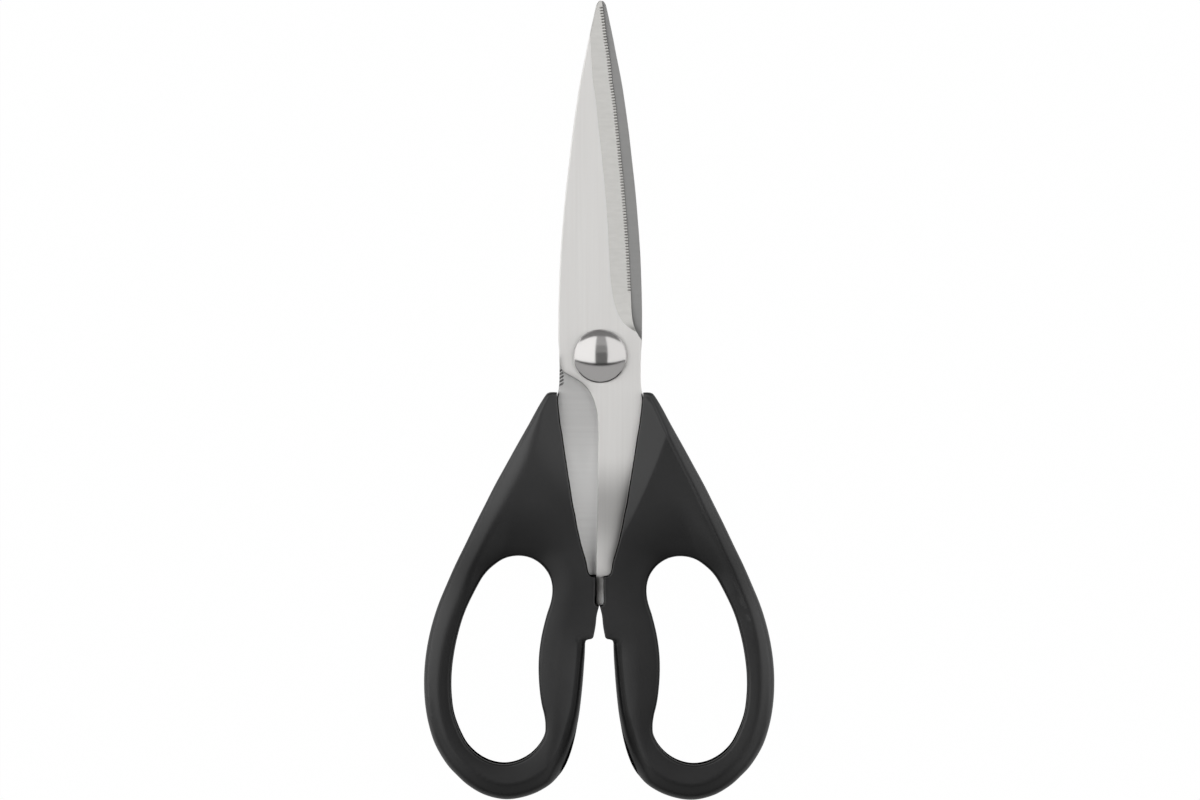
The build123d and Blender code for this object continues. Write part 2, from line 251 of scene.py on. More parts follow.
# Each stretch's points, rounding width and rounding depth. The outer stretch's own follow formulas.
STRETCHES = [
    (OUTER, 3.4, 3.3), (STEP, 0.35, 0.35), (TOE, 0.35, 0.35), (SLOT, 0.6, 0.45),
    (MOUTH, 0.3, 0.3), (NOSE, 0.9, 0.9),
]
SLOT_STRETCH = 3
HOLE_ROUND = 0.9
THICKNESS = 11.0
RAMP_SLOPE = math.tan(math.radians(11))
# The front crease: where it starts down the handle, how far across, how it leans and curves, the
# cosine of its lean, and how soft its bend is
CREASE_TOP, CREASE_ACROSS, CREASE_LEAN, CREASE_CURVE, CREASE_KNOT = 9.3, 17.5, 0.3796, 0.003243, 20.1
CREASE_COSINE, CREASE_SOFTNESS = 0.918, 0.25
# The rear face's soft crest: a point on it, the direction away from it and how soft its bend is
CREST_POINT, CREST_WAY, CREST_SOFTNESS = (20.5, -9.5), (-0.839, 0.545), 3.0
# The front face's ledge, and on both faces the crown round the hole, the crown on the inner leg and
# the dish. A pair of numbers is where a form starts and where it is whole, across or down the handle.
LEDGE, LEDGE_RUN, LEDGE_END = 0.22, 0.6, (-64, -44)
HOLE_CROWN, HOLE_CROWN_REACH = 0.5, 6
LEG_CROWN, LEG_CROWN_REACH, LEG_ACROSS, LEG_DOWN = 0.35, 5, (-14, -9), (58, 68)
DISH_DEPTH, DISH_REACH, DISH_END, DISH_EDGE = 2.0, 24, (-54, -38), (-0.4, 7.0)
# Widths of the outer rounding at heights, on the outer side and between the legs
SIDE_WIDTHS = (-90, -72, -56, -27, -11, 2), (4.4, 4.6, 3.6, 2.9, 2.3, 1.2)
GAP_WIDTHS = (-101, -95, -80, -65), (4.4, 3.7, 2.3, 2.0)
SIDE_FROM, GAP_BELOW = 20, -60
# Its greatest depth, where it grows steeper between the legs, and how much wider it is behind
MOST_DEPTH, STEEP_ACROSS, STEEP_DOWN = 3.4, (-13, -8.5), (60, 70)
WIDER_BEHIND, WIDER_ACROSS, WIDER_DOWN, WIDER_END = 2.6, (13, 22), (-2, 10), (-78, -45)
# How much painted shade darkens a grip round the hole, in the dish, on the rim, and along the slot, and
# how much painted light lightens it behind
HOLE_DARK, HOLE_DARK_OFF, HOLE_DARK_REACH = 0.25, 0.35, 2.2
DISH_DARK, DISH_DARK_REACH, DISH_DARK_END = 0.5, 15, (-58, -42)
RIM_BLUR, RIM_LEG_DARK, RIM_LEG_DOWN, RIM_LOW_DARK, RIM_LOW_DOWN = 0.4, 0.6, (58, 66), 0.45, (92, 103)
LEG_LIGHT, LEG_LIGHT_FROM, NOSE_LIGHT, NOSE_LIGHT_FROM = 0.3, (2, 5), 0.2, (-30, -10)
SLOT_DARK, SLOT_DARK_REACH = 0.6, 0.35

# How many places are measured at a time
CHUNK = 2000


def through(points, step, closed=False):
    """A smooth line through points, as an array of places a step apart."""
    knots = np.array(points, dtype=float)
    if closed:
        knots = np.vstack([knots[-1:], knots, knots[:2]])
    else:
        knots = np.vstack([2 * knots[0] - knots[1], knots, 2 * knots[-1] - knots[-2]])
    places = []
    for before, here, there, after in zip(knots, knots[1:], knots[2:], knots[3:]):
        ends = ((before, here), (here, there), (there, after))
        first, mid, last = [max(math.sqrt(np.linalg.norm(b - a)), 1e-6) for a, b in ends]
        leave = ((here - before) / first - (there - before) / (first + mid) + (there - here) / mid) * mid
        arrive = ((there - here) / mid - (after - here) / (mid + last) + (after - there) / last) * mid
        count = max(2, int(math.ceil(np.linalg.norm(there - here) / step)))
        for share in np.arange(count) / count:
            square, cube = share**2, share**3
            places.append(
                (2 * cube - 3 * square + 1) * here + (cube - 2 * square + share) * leave
                + (3 * square - 2 * cube) * there + (cube - square) * arrive
            )
    if not closed:
        places.append(knots[-2])
    return np.array(places)


def nearest(places, line, closed=False):
    """Distances from places to a line of points, the unit directions away from it and the ways along it."""
    ends = np.vstack([line, line[:1]]) if closed else line
    start, span = ends[:-1], np.diff(ends, axis=0)
    length = np.maximum((span**2).sum(axis=1), 1e-12)
    passed = np.concatenate([[0.0], np.cumsum(np.sqrt(length))])
    distance = np.full(len(places), 1e9)
    away = np.zeros((len(places), 2))
    way = np.zeros(len(places))
    for first in range(0, len(places), CHUNK):
        chunk = places[first:first + CHUNK]
        offset = chunk[:, None, :] - start[None]
        share = np.clip((offset * span[None]).sum(axis=2) / length, 0, 1)
        gap = offset - share[..., None] * span[None]
        square = (gap**2).sum(axis=2)
        best = square.argmin(axis=1)
        rows = np.arange(len(chunk))
        found = np.sqrt(square[rows, best])
        distance[first:first + CHUNK] = found
        away[first:first + CHUNK] = gap[rows, best] / np.maximum(found, 1e-9)[:, None]
        way[first:first + CHUNK] = passed[best] + share[rows, best] * np.sqrt(length[best])
    return distance, away, way


def smooth(value, low, high):
    """Goes from 0 to 1 between two values, with no kink."""
    share = np.clip((value - low) / (high - low), 0, 1)
    return share * share * (3 - 2 * share)


def crease_line(down):
    """How far across the front crease lies at distances down the handle."""
    along = down - CREASE_TOP
    return CREASE_ACROSS - CREASE_LEAN * along - CREASE_CURVE * along * (down - CREASE_KNOT)


def crease(places):
    """How far places lie on the nose side of the front face's curved crease."""
    return (crease_line(-places[:, 1]) - places[:, 0]) * CREASE_COSINE


def soft_crest(places):
    """How far places lie on the nose side of the rear face's soft crest."""
    across, up = (places - CREST_POINT).T
    return across * CREST_WAY[0] + up * CREST_WAY[1]


def hinge(value, softness):
    """Rises as value does above 0 and stays at 0 below it, with a rounded bend."""
    return (value + np.sqrt(value * value + softness * softness)) / 2


def face_drop(places, front, within, hole):
    """How far a face lies below the flat before its edges are rounded. within is the distance inside
    the outer rounding, and hole the distance from the finger hole."""
    height = places[:, 1]
    if front:
        drop = RAMP_SLOPE * hinge(crease(places), CREASE_SOFTNESS)
        drop = drop + LEDGE * smooth(within, 0.0, LEDGE_RUN) * smooth(height, *LEDGE_END)
    else:
        drop = RAMP_SLOPE * hinge(soft_crest(places), CREST_SOFTNESS)
    drop = drop + HOLE_CROWN * np.clip(1 - hole / HOLE_CROWN_REACH, 0, 1) ** 2
    leg = smooth(-places[:, 0], *LEG_ACROSS) * smooth(-height, *LEG_DOWN)
    drop = drop + LEG_CROWN * leg * np.clip(1 - within / LEG_CROWN_REACH, 0, 1) ** 2
    dish = np.clip(1 - hole / DISH_REACH, 0, 1) ** 2 * smooth(height, *DISH_END)
    return drop + DISH_DEPTH * dish * smooth(within, *DISH_EDGE)


def fade(distance, length):
    """Falls from 1 at no distance towards 0 over a length."""
    return np.exp(-np.maximum(distance, 0) / length)


def grip_shade(places, found, width, front):
    """How light a handle's face is painted: painted shade in the dish, round the hole, between the legs,
    below and along the slot, and painted light on the rear face's legs and nose.
    """
    height, hole, away = places[:, 1], found[-1][0], found[-1][1][:, 0]
    turned_off = np.clip(-away if front else away, 0, 1)
    shade = 1 - (HOLE_DARK + HOLE_DARK_OFF * turned_off) * fade(hole, HOLE_DARK_REACH)
    dish = np.clip(1 - hole / DISH_DARK_REACH, 0, 1)
    shade = shade * (1 - DISH_DARK * dish * smooth(height, *DISH_DARK_END))
    rim = smooth(-found[0][0], -width - RIM_BLUR, -width + RIM_BLUR)
    leg = smooth(-places[:, 0], *LEG_ACROSS) * smooth(-height, *RIM_LEG_DOWN)
    shade = shade * (1 - RIM_LEG_DARK * rim * leg)
    shade = shade * (1 - RIM_LOW_DARK * rim * smooth(-height, *RIM_LOW_DOWN))
    if not front:
        shade = shade * (1 + LEG_LIGHT * leg * (1 - rim) * smooth(hole, *LEG_LIGHT_FROM))
        shade = shade * (1 + NOSE_LIGHT * smooth(height, *NOSE_LIGHT_FROM))
    return shade * (1 - SLOT_DARK * fade(found[SLOT_STRETCH][0], SLOT_DARK_REACH))


def rounding(distance, width, depth):
    """Drop and slope of an edge rounded over a width and a depth, at a distance from the edge."""
    share = np.clip(1 - distance / width, 0, 1)
    level = np.sqrt(np.maximum(1 - share * share, 1e-9))
    return depth * (1 - level), depth / width * share / np.maximum(level, 1e-4)


def outer_width(places):
    """Width of the rounding along the outer stretch at its points."""
    side = np.interp(places[:, 1], *SIDE_WIDTHS)
    gap = np.interp(places[:, 1], *GAP_WIDTHS)
    return np.where((places[:, 0] > SIDE_FROM) | (places[:, 1] > GAP_BELOW), side, gap)


def outer_depth(places, width):
    """Depth of the rounding along the outer stretch, steeper where the legs face each other."""
    steeper = smooth(-places[:, 0], *STEEP_ACROSS) * smooth(-places[:, 1], *STEEP_DOWN)
    return np.minimum(width, MOST_DEPTH) * (1 + steeper)


def inward(line, closed):
    """Unit normals of a line of points, on the side of the plastic."""
    if closed:
        along = np.roll(line, -1, axis=0) - np.roll(line, 1, axis=0)
    else:
        along = np.gradient(line, axis=0)
    along /= np.linalg.norm(along, axis=1)[:, None]
    return np.stack([along[:, 1], -along[:, 0]], axis=1)


def inside(places, line):
    """Whether places lie inside a closed line of points."""
    found = np.zeros(len(places), dtype=bool)
    ends = np.roll(line, -1, axis=0)
    for (x0, y0), (x1, y1) in zip(line, ends):
        if y0 != y1:
            crosses = (places[:, 1] > y0) != (places[:, 1] > y1)
            found ^= crosses & (places[:, 0] < (x1 - x0) * (places[:, 1] - y0) / (y1 - y0) + x0)
    return found


def thin_out(places, spacing, kept=None):
    """Drops places that lie nearer than a spacing to one already kept."""
    kept = [] if kept is None else list(kept)
    cells = {}
    for place in kept:
        cells.setdefault((int(place[0] // spacing), int(place[1] // spacing)), []).append(place)
    for place in places:
        column, row = int(place[0] // spacing), int(place[1] // spacing)
        near = (
            other for across in (-1, 0, 1) for along in (-1, 0, 1)
            for other in cells.get((column + across, row + along), ())
        )
        if all((place[0] - other[0]) ** 2 + (place[1] - other[1]) ** 2 > spacing**2 for other in near):
            cells.setdefault((column, row), []).append(place)
            kept.append(place)
    return np.array(kept)


def lay_out(loops, extra, gap, spacing):
    """Triangulates the flat between an outer loop of stretches and any holes. extra are the places to
    use inside. Gives the places, the triangles, and the rim's edges with the normals of their stretch."""
    base = np.vstack([line[:-1] if len(loop) > 1 else line for loop in loops for line in loop])
    outer = np.vstack([line[:-1] for line in loops[0]])
    holes = [loop[0] for loop in loops[1:]]
    clear = [nearest(extra, line, len(loop) == 1)[0] for loop in loops for line in loop]
    extra = extra[np.min(clear, axis=0) > gap]
    among = inside(extra, outer)
    for hole in holes:
        among &= ~inside(extra, hole)
    kept = thin_out(extra[among], spacing, base)
    runs, first = [], 0
    for loop in loops:
        total = sum(len(line) - (len(loop) > 1) for line in loop)
        runs.append((first, total))
        first += total
    links = [(start + k, start + (k + 1) % total) for start, total in runs for k in range(total)]
    result = delaunay_2d_cdt([Vector(place) for place in kept], links, [], 0, 1e-7)
    places = np.array([tuple(place) for place in result[0]])
    faces = np.array(result[2])
    middles = places[faces].mean(axis=1)
    among = inside(middles, outer)
    for hole in holes:
        among &= ~inside(middles, hole)
    at = {origin: index for index, origins in enumerate(result[3]) for origin in origins}
    edges, stretch, first = [], 0, 0
    for loop, (start, total) in zip(loops, runs):
        for line in loop:
            sideways = inward(line, len(loop) == 1)
            for k in range(len(line) - (len(loop) > 1)):
                there = at[start + (first - start + k + 1) % total]
                edges.append((at[first + k], there, sideways[k], sideways[(k + 1) % len(line)], stretch))
            first += len(line) - (len(loop) > 1)
            stretch += 1
    return places, faces[among], edges


def solid(places, faces, edges, top, top_slope, low, low_slope):
    """Vertices, faces and corner normals of a piece between two height fields over the same flat."""
    size = len(places)
    vertices = np.vstack([np.column_stack([places, top]), np.column_stack([places, low])])
    up = np.column_stack([-top_slope, np.ones(size)])
    down = np.column_stack([low_slope, -np.ones(size)])
    up /= np.linalg.norm(up, axis=1)[:, None]
    down /= np.linalg.norm(down, axis=1)[:, None]
    turned = faces[:, ::-1]
    walls = [(here, here + size, there + size, there) for here, there, a, b, stretch in edges]
    sides = [(-side[0], -side[1], 0.0) for here, there, a, b, stretch in edges for side in (a, a, b, b)]
    corners = np.vstack([up[faces].reshape(-1, 3), down[turned].reshape(-1, 3), np.array(sides)])
    return vertices, [*faces.tolist(), *(turned + size).tolist(), *walls], corners


def measured(places, lines, edges):
    """Distance, inward direction and way along for every line, exact on the rim itself."""
    found = [list(nearest(places, line, closed)) for line, closed in lines]
    for here, there, side, other, stretch in edges:
        found[stretch][0][here] = 0.0
        found[stretch][1][here] = side
    return found


def slope_of(drop, places, found):
    """Slope of a height function of places and of the distances found there."""
    reach = 0.03
    parts = []
    for step in (np.array([reach, 0.0]), np.array([0.0, reach])):
        ends = []
        for shift in (step, -step):
            moved = [
                (distance + away @ shift, way + away @ np.array([shift[1], -shift[0]]))
                for distance, away, way in found
            ]
            ends.append(drop(places + shift, moved))
        parts.append((ends[0] - ends[1]) / (2 * reach))
    return np.stack(parts, axis=1)


def rounded(places, found, widths, depths):
    """Drop of the edge roundings at places and its slope."""
    several = [rounding(one[0], width, depth) for one, width, depth in zip(found, widths, depths)]
    drops, slopes = np.array([one[0] for one in several]), np.array([one[1] for one in several])
    aways = np.array([one[1] for one in found])
    most, rows = drops.argmax(axis=0), np.arange(len(places))
    return drops[most, rows], -slopes[most, rows][:, None] * aways[most, rows]


def rings(line, closed, insets):
    """Lines of places at insets from a line."""
    sideways = inward(line, closed)
    return [line + sideways * np.reshape(inset, (-1, 1)) for inset in insets]


def lattice(low, high, step):
    """Places a step apart in staggered rows between two corners."""
    rows = []
    for row, height in enumerate(np.arange(low[1], high[1], step * 0.88)):
        across = np.arange(low[0], high[0], step) + row % 2 * step / 2
        rows.append(np.stack([across, np.full(len(across), height)], axis=1))
    return np.vstack(rows)


# The grips' places: their step along wide and narrow roundings, where round these their rows lie in
# degrees, more rows inside the outer rounding and the hole's and beside the crease, and the corners,
# step and clearance of the lattice between
WIDE_STEP, NARROW_STEP = 0.55, 0.3
WIDE_TURNS, NARROW_TURNS = (12, 24, 36, 48, 60, 72, 81, 90), (40, 90)
OUTER_ROWS, HOLE_ROWS = (0.15, 0.3, 0.45, 0.65, 1.1), (0.3, 0.8, 1.4)
CREASE_ROWS = (-0.35, -0.12, 0.12, 0.35)
CREASE_FROM, CREASE_TO, CREASE_STEP = 6.0, 39.0, 0.5
GRIP_LOW, GRIP_HIGH, GRIP_STEP, GRIP_CLEAR = (0.2, -105.5), (46.5, 2.5), 0.9, 2.6


def handle_mesh():
    """The right handle's vertices in millimetres, faces and corner normals, and its vertices' painted
    shades.
    """
    lines = [
        through(points, WIDE_STEP if width > 1 else NARROW_STEP)
        for points, width, depth in STRETCHES
    ]
    hole = through(HOLE[::-1], WIDE_STEP, closed=True)
    extra = []
    fixed = [width for points, width, depth in STRETCHES[1:]]
    for line, width in zip([*lines, hole], [None, *fixed, HOLE_ROUND]):
        widths = outer_width(line) if width is None else np.full(len(line), width)
        turns = np.radians(WIDE_TURNS if widths.max() > 1 else NARROW_TURNS)
        insets = [widths * (1 - math.cos(turn)) for turn in turns]
        if width is None:
            insets += [widths + more for more in OUTER_ROWS]
        if line is hole:
            insets += [widths + more for more in HOLE_ROWS]
        for ring, inset in zip(rings(line, line is hole, insets), insets):
            clear = [nearest(ring, other, other is hole)[0] for other in [*lines, hole]]
            extra.append(ring[np.min(clear, axis=0) > inset - 0.03])
    down = np.arange(CREASE_FROM, CREASE_TO, CREASE_STEP)
    extra += [np.stack([crease_line(down) + shift, -down], axis=1) for shift in CREASE_ROWS]
    inner = lattice(GRIP_LOW, GRIP_HIGH, GRIP_STEP)
    clear = [nearest(inner, other, other is hole)[0] for other in [lines[0], hole]]
    extra.append(inner[np.min(clear, axis=0) > GRIP_CLEAR])
    places, faces, edges = lay_out([lines, [hole]], np.vstack(extra), gap=0.04, spacing=0.06)

    found = measured(places, [(line, False) for line in lines] + [(hole, True)], edges)
    nearby = places - found[0][1] * found[0][0][:, None]
    widths = [outer_width(nearby), *fixed, HOLE_ROUND]
    depths = [depth for points, width, depth in STRETCHES[1:]]
    depths = [outer_depth(nearby, widths[0]), *depths, HOLE_ROUND]
    wider = WIDER_BEHIND * smooth(-nearby[:, 1], *WIDER_DOWN) * smooth(nearby[:, 1], *WIDER_END)
    wider = wider * smooth(nearby[:, 0], *WIDER_ACROSS)
    levels = []
    for front in (True, False):
        spread = [widths[0] if front else widths[0] + wider, *widths[1:]]
        edge, edge_slope = rounded(places, found, spread, depths)

        def drop(where, gaps):
            return face_drop(where, front, gaps[0][0] - widths[0], gaps[-1][0])
        here = drop(places, [(one[0], one[2]) for one in found])
        levels.append((here + edge, slope_of(drop, places, found) + edge_slope))
    (front, front_slope), (rear, rear_slope) = levels
    shades = np.concatenate([grip_shade(places, found, widths[0], front) for front in (True, False)])
    return solid(places, faces, edges, THICKNESS - front, -front_slope, rear, rear_slope), shades


def own_mesh(name, shape, shades, turned, materials, kinds=None):
    """A mesh from a shape in millimetres, turned over about the long axis where asked. kinds are the
    places in materials of its faces'."""
    vertices, faces, corners = shape
    if turned:
        vertices = vertices * (-1, 1, -1) + (0, 0, THICKNESS)
        corners = corners * (-1, 1, -1)
    made_mesh = bpy.data.meshes.new(name)
    made_mesh.from_pydata((vertices * MM).tolist(), [], faces)
    made_mesh.shade_smooth()
    for one in materials:
        made_mesh.materials.append(one)
    if kinds is not None:
        made_mesh.polygons.foreach_set("material_index", kinds)
    made_mesh.attributes.new("shade", "FLOAT", "POINT").data.foreach_set("value", shades)
    made_mesh.normals_split_custom_set(corners.tolist())
    made = bpy.data.objects.new(name, made_mesh)
    scene.collection.objects.link(made)
    return made


HANDLE, HANDLE_SHADES = handle_mesh()
for name, node_name, body, turned in (
    ("right_grip", "right_handle", "front_half", False),
    ("left_grip", "left_handle", "rear_half", True),
):
    grip = own_mesh(name, HANDLE, HANDLE_SHADES, turned, [plastic])
    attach(grip, body)
    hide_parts(node_name)


# Blades

# The front blade's outline in millimetres, going round from its tip: the cutting edge, the choil, the
# side, the side held in the right handle, the strip in the slot and its end, the inner edge with the
# heel, the spine and the tip
EDGE = [
    (0.35, 103.9), (0.9, 99.75), (1.6, 94.5), (2.43, 89.25), (3.02, 84.0), (3.8, 78.75),
    (4.68, 70.9), (5.48, 63.0), (6.26, 55.1), (6.92, 47.25), (7.47, 39.4), (7.93, 31.5), (8.13, 26.25),
]
CHOIL = [(8.13, 26.25), (8.28, 23.6), (8.58, 21.0), (9.3, 18.4), (10.2, 16.8), (10.9, 15.75)]
SIDE = [(10.9, 15.75), (10.74, 11.8), (10.67, 7.9), (10.75, 4.0), (10.95, 2.6), (11.2, 1.4)]
HELD = [
    (11.2, 1.4), (11.32, 0.3), (11.28, -1.05), (10.98, -3.9), (10.63, -6.6), (10.18, -9.2), (9.78, -11.8),
    (9.4, -14.4), (8.98, -17.1), (8.58, -19.7), (8.13, -22.3), (7.73, -24.9), (7.3, -27.6),
    (6.73, -30.2), (6.28, -32.8), (5.72, -35.4), (5.08, -38.1), (4.31, -40.7), (3.78, -42.6),
    (3.5, -44.3), (3.15, -45.6), (2.3, -46.4), (1.2, -46.55),
]
STRIP = [(1.2, -46.55), (1.25, -48.0), (1.27, -50.0), (1.25, -53.5)]
END = [(1.25, -53.5), (0.7, -53.95), (-0.4, -54.0), (-0.8, -53.6)]
INNER = [
    (-0.8, -53.6), (-0.9, -46.2), (-0.85, -42.0), (-0.55, -26.3), (-0.45, -15.0), (-0.42, -8.5),
    (-0.5, -5.5), (-0.8, -3.15), (-1.7, 0.0), (-3.0, 2.5), (-5.25, 4.75), (-7.7, 6.25), (-9.7, 7.4),
    (-10.4, 9.2), (-10.7, 10.8),
]
SPINE = [
    (-10.7, 10.8), (-10.8, 13.0), (-10.97, 15.75), (-11.0, 19.7), (-10.99, 23.6), (-10.78, 31.5),
    (-10.42, 39.4), (-9.83, 47.25), (-9.13, 55.1), (-8.24, 63.0), (-7.32, 70.9), (-6.21, 78.75),
    (-5.59, 82.7), (-4.86, 86.6), (-4.03, 90.6), (-3.28, 94.5), (-2.17, 99.75), (-1.47, 102.9),
    (-1.18, 103.95), (-0.72, 104.7),
]
TIP = [(-0.72, 104.7), (-0.2, 104.97), (0.15, 104.7), (0.35, 103.9)]
BEVEL_LINE = [
    (-4.6, 107.0), (-2.78, 94.5), (-2.52, 89.25), (-2.13, 84.0), (-1.34, 78.75), (-0.55, 70.9),
    (0.37, 63.0), (1.16, 55.1), (1.81, 47.25), (2.2, 39.4), (2.75, 31.5), (3.5, 26.25), (4.3, 23.6),
    (5.6, 21.0), (7.3, 19.2), (9.6, 17.9), (14.0, 16.6),
]
# Each stretch's points, and the width and depth of its rounding on the outer face
PLATE_STRETCHES = [
    (EDGE, 0.05, 0.05), (CHOIL, 0.3, 0.25), (SIDE, 0.3, 0.2), (HELD, 0.4, 0.6), (STRIP, 0.2, 0.15),
    (END, 0.2, 0.2), (INNER, 0.3, 0.12), (SPINE, 0.35, 0.3), (TIP, 0.15, 0.12),
]
EDGE_STRETCH, HELD_STRETCH, STRIP_STRETCH, END_STRETCH, INNER_STRETCH = 0, 3, 4, 5, 6
# The same on the inner face: at the cutting edge, at the side held in the handle and elsewhere
INNER_EDGE_ROUND, INNER_HELD_ROUND, INNER_ROUND = (0.02, 0.02), (0.4, 0.5), (0.15, 0.12)
# The places of the faces' materials in the plate's list. The last puts the handle's black plastic on
# the plate's own faces along the plastic and below the foot: a painted shadow line
FLAT, BEVEL, TEETH, INSIDE, SHADOW_LIP = range(5)
PLATE_LOW, PLATE_TOP, LEAST_THICKNESS = 5.525, 7.725, 0.08
BEVEL_SLOPE = 0.38
TOOTH_PITCH, TOOTH_REACH, TOOTH_DEPTH, TOOTH_SHARE = 0.77, 1.05, 0.25, 0.5
NOTCH_PITCH, NOTCH_DEPTH, NOTCH_REACH, NOTCH_START, NOTCH_SLOPE = 0.93, 0.25, 1.4, 3.6, 0.577
NOTCH_SIDE, NOTCH_COUNT = 11, 5
# The width of the painted shadow line along the side held in the handle
SHADOW_LIP_WIDTH = 0.33
# How soft the bevel's upper line is, and where along the edge the teeth start and end
BEVEL_SOFTNESS, TEETH_FROM, TEETH_TO, TOOTH_FULL = 0.06, (0.2, 0.8), (-76.5, -75.5), -0.45
# The slopes of the shank's inner face at the inner edge and at the side, in degrees, and where they
# start and end
LEAN_INNER, LEAN_SIDE, LEAN_SHARES, LEAN_DOWN, LEAN_END = 10, 14, (0.15, 0.85), (-2.0, 22.0), (-47, -43)
# How much painted shade darkens the outer face: a painted dark reflection low on the shank, and painted
# shade at its side, at the heel and in the slot; and how strong the painted highlight along the plastic's
# lip is
BAND_DARK, BAND_DOWN, BAND_END = 0.39, (14, 27), (-45, -30)
SIDE_DARK, SIDE_DARK_REACH, SIDE_DOWN, SIDE_END = 0.85, 1.2, (14, 29), (-50, -38)
HEEL_DARK, HEEL_DARK_REACH, HEEL_FROM = 0.3, 0.6, (1.0, 4.0)
LIP_LIGHT, LIP_DOWN, LIP_END, LIP_BLUR = 0.25, (17, 22), (-42, -38), (0.3, 0.1)
SLOT_DOWN, STRIP_SHADE, STRIP_RISE, STRIP_ACROSS = (45.8, 46.8), 0.22, 0.55, (-0.6, 0.6)
STRIP_LOW, STRIP_LOW_DOWN = 0.6, (49, 52)
# How light the inner face is behind the blade, and how much lighter below the pivot and on the shank;
# how much painted light lies beside the other blade and the plastic, where their shadows fall; and how
# much painted shade darkens the notches and the slot below the foot
INSIDE_SHADE, INSIDE_MID, INSIDE_MID_DOWN, INSIDE_LOW, INSIDE_LOW_DOWN = 0.43, 0.33, (-14, 2), 0.24, (2, 26)
BESIDE_BLADE, BESIDE_BLADE_REACH, BESIDE_BLADE_DOWN = 0.45, 1.0, (-12, -8)
BESIDE_GRIP, BESIDE_GRIP_REACH, BESIDE_GRIP_DOWN, BESIDE_GRIP_END = 0.3, 2.0, (-5, 0), (-40, -10)
NOTCH_DARK, FOOT_DARK, FOOT_DOWN, FOOT = 0.55, 0.8, (45.6, 46.6), -45.9
# The plates' places: their step, rows inside the edge and elsewhere, and the corners, step and
# clearance of the lattice between
PLATE_STEP, ROUND_SHARES, EDGE_ROWS = 0.4, (0.1, 0.35, 0.7, 1.0), [0.15, 0.3, 0.45, 0.6, 0.75, 0.9, 1.05]
MORE_ROWS, BEVEL_ROWS = [0.33, 0.5, 0.65, 0.95, 1.4, 2.0], (-0.15, -0.03, 0.03, 0.15)
PLATE_GRID_LOW, PLATE_GRID_HIGH, PLATE_GRID_STEP, PLATE_CLEAR = (-11.5, -54.5), (12.0, 105.5), 1.2, 0.5
NOTCH_GRID_LOW, NOTCH_GRID_HIGH, NOTCH_GRID_STEP = (9.5, 3.4), (10.7, 9.0), 0.14


def bevel_reach(places):
    """How far places lie on the cutting edge's side of the bevel's upper line."""
    line = through(BEVEL_LINE, 0.3)[::-1]
    return places[:, 0] - np.interp(places[:, 1], line[:, 1], line[:, 0])


def plate_drop(places, gaps):
    """How far the outer face lies below the flat: the bevel and the teeth in the cutting edge."""
    drop = BEVEL_SLOPE * hinge(bevel_reach(places), BEVEL_SOFTNESS)
    distance, way = gaps[EDGE_STRETCH]
    run = smooth(way, *TEETH_FROM) * smooth(-way, *TEETH_TO)
    return drop + run * TOOTH_DEPTH * smooth(-distance, -TOOTH_REACH, TOOTH_FULL) * tooth(way)


def tooth(way):
    """The teeth's V-grooves along the edge: 1 at the bottom of each groove, 0 between them."""
    share = np.abs(way / TOOTH_PITCH - np.round(way / TOOTH_PITCH)) * 2
    return np.clip(1 - share / TOOTH_SHARE, 0, 1)


def notch(places):
    """The five slanted grooves in the inner face's side: 1 at the bottom of each, 0 between them."""
    across = NOTCH_SIDE - places[:, 0]
    count = (places[:, 1] - NOTCH_SLOPE * across - NOTCH_START) / NOTCH_PITCH
    groove = np.clip(1 - np.abs(count - np.round(count)) * 3, 0, 1)
    return groove * (across < NOTCH_REACH) * (count > -0.4) * (count < NOTCH_COUNT - 0.6)


def hollow(places, gaps):
    """How deep the grooves go into the inner face."""
    return NOTCH_DEPTH * notch(places)


def lean(places):
    """Slope across the inner face of the shank, ground hollow too slightly for its depth to show."""
    height = places[:, 1]
    side = np.interp(height, [point[1] for point in HELD[::-1]], [point[0] for point in HELD[::-1]])
    share = smooth((places[:, 0] + 0.9) / (side + 0.9), *LEAN_SHARES)
    slope = math.tan(math.radians(LEAN_INNER)) * (1 - share) - math.tan(math.radians(LEAN_SIDE)) * share
    slope = slope * smooth(-height, *LEAN_DOWN) * smooth(height, *LEAN_END)
    return np.stack([slope, 0 * height], axis=1)


def outer_shade(places, found):
    """How light the outer face's steel is painted: a painted dark reflection low on the shank, painted
    shade towards the plastic, at the heel and in the slot, and a painted highlight along the plastic.
    """
    height = places[:, 1]
    band = smooth(-height, *BAND_DOWN) * smooth(height, *BAND_END)
    side = smooth(-height, *SIDE_DOWN) * smooth(height, *SIDE_END)
    held, inner = found[HELD_STRETCH][0], found[INNER_STRETCH][0]
    shade = (1 - BAND_DARK * band) * (1 - SIDE_DARK * side * fade(held - SHADOW_LIP_WIDTH, SIDE_DARK_REACH))
    shade = shade * (1 - HEEL_DARK * smooth(height, *HEEL_FROM) * fade(inner - 0.3, HEEL_DARK_REACH))
    rim = LIP_LIGHT * smooth(-height, *LIP_DOWN) * smooth(height, *LIP_END)
    shade = shade + rim * smooth(-held, -SHADOW_LIP_WIDTH - LIP_BLUR[0], -SHADOW_LIP_WIDTH - LIP_BLUR[1])
    slot = smooth(-height, *SLOT_DOWN)
    strip = STRIP_SHADE + STRIP_RISE * smooth(places[:, 0], *STRIP_ACROSS)
    strip = strip * (1 + STRIP_LOW * smooth(-height, *STRIP_LOW_DOWN))
    return shade * (1 - slot) + slot * strip


